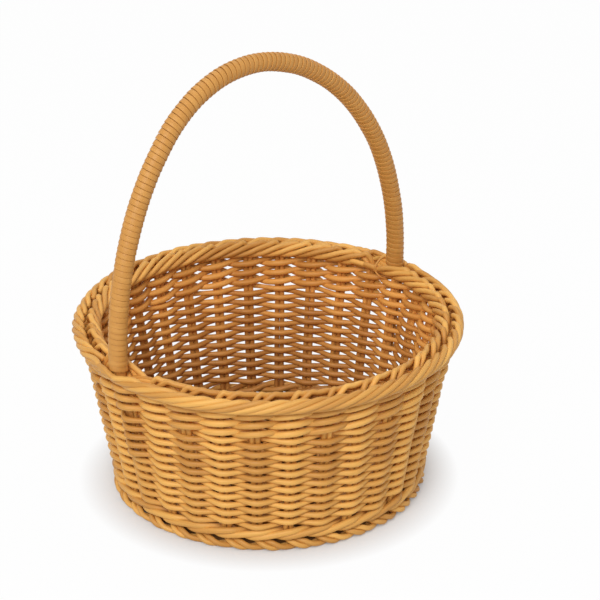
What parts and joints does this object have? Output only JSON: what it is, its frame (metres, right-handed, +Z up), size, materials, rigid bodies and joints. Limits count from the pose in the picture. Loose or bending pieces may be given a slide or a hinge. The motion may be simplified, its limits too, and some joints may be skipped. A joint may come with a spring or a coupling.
{
  "type": "handled basket",
  "caption": "Round woven cane basket with outward leaning sides, a rolled border, a woven base and a fixed wrapped hoop handle.",
  "frame": {"origin": "middle of the foot, on the surface that the basket stands on", "axes": "+Z up, the handle's legs at plus and minus X, +Y across the handle"},
  "size_m": [0.2988, 0.2988, 0.3466],
  "materials": {
    "cane": "golden tan synthetic cane, fine grain along its length, soft sheen",
    "inner_cane": "the same cane where it lies in the basket's shade, a warmer brown, soft sheen",
    "wrap": "flat synthetic ribbon wound edge over edge, smooth, soft sheen"
  },
  "bodies": {
    "root": {"stake_pair_01": "cane", "stake_pair_02": "cane", "stake_pair_03": "cane", "stake_pair_04": "cane", "stake_pair_05": "cane", "stake_pair_06": "cane", "stake_pair_07": "cane", "stake_pair_08": "cane", "stake_pair_09": "cane", "stake_pair_10": "cane", "stake_pair_11": "cane", "stake_pair_12": "cane", "stake_pair_13": "cane", "stake_pair_14": "cane", "stake_pair_15": "cane", "stake_pair_16": "cane", "stake_pair_17": "cane", "stake_pair_18": "cane", "stake_pair_19": "cane", "stake_pair_20": "cane", "stake_pair_21": "cane", "stake_pair_22": "cane", "stake_pair_23": "cane", "stake_pair_24": "cane", "stake_pair_25": "cane", "stake_pair_26": "cane", "stake_pair_27": "cane", "stake_pair_28": "cane", "stake_pair_29": "cane", "stake_pair_30": "cane", "stake_pair_31": "cane", "stake_pair_32": "cane", "side_weaver_a_1": "cane", "side_weaver_a_2": "cane", "side_weaver_b_1": "cane", "side_weaver_b_2": "cane", "lower_wale_rod_1": "cane", "lower_wale_rod_2": "cane", "lower_wale_rod_3": "cane", "upper_wale_rod_1": "cane", "upper_wale_rod_2": "cane", "upper_wale_rod_3": "cane", "base_stick_lower_1": "inner_cane", "base_stick_lower_2": "inner_cane", "base_stick_lower_3": "inner_cane", "base_stick_lower_4": "inner_cane", "base_stick_upper_1": "inner_cane", "base_stick_upper_2": "inner_cane", "base_stick_upper_3": "inner_cane", "base_stick_upper_4": "inner_cane", "base_weaver_a": "inner_cane", "base_weaver_b": "inner_cane", "handle_core": "inner_cane", "handle_wrap": "wrap"}
  },
  "joints": []
}
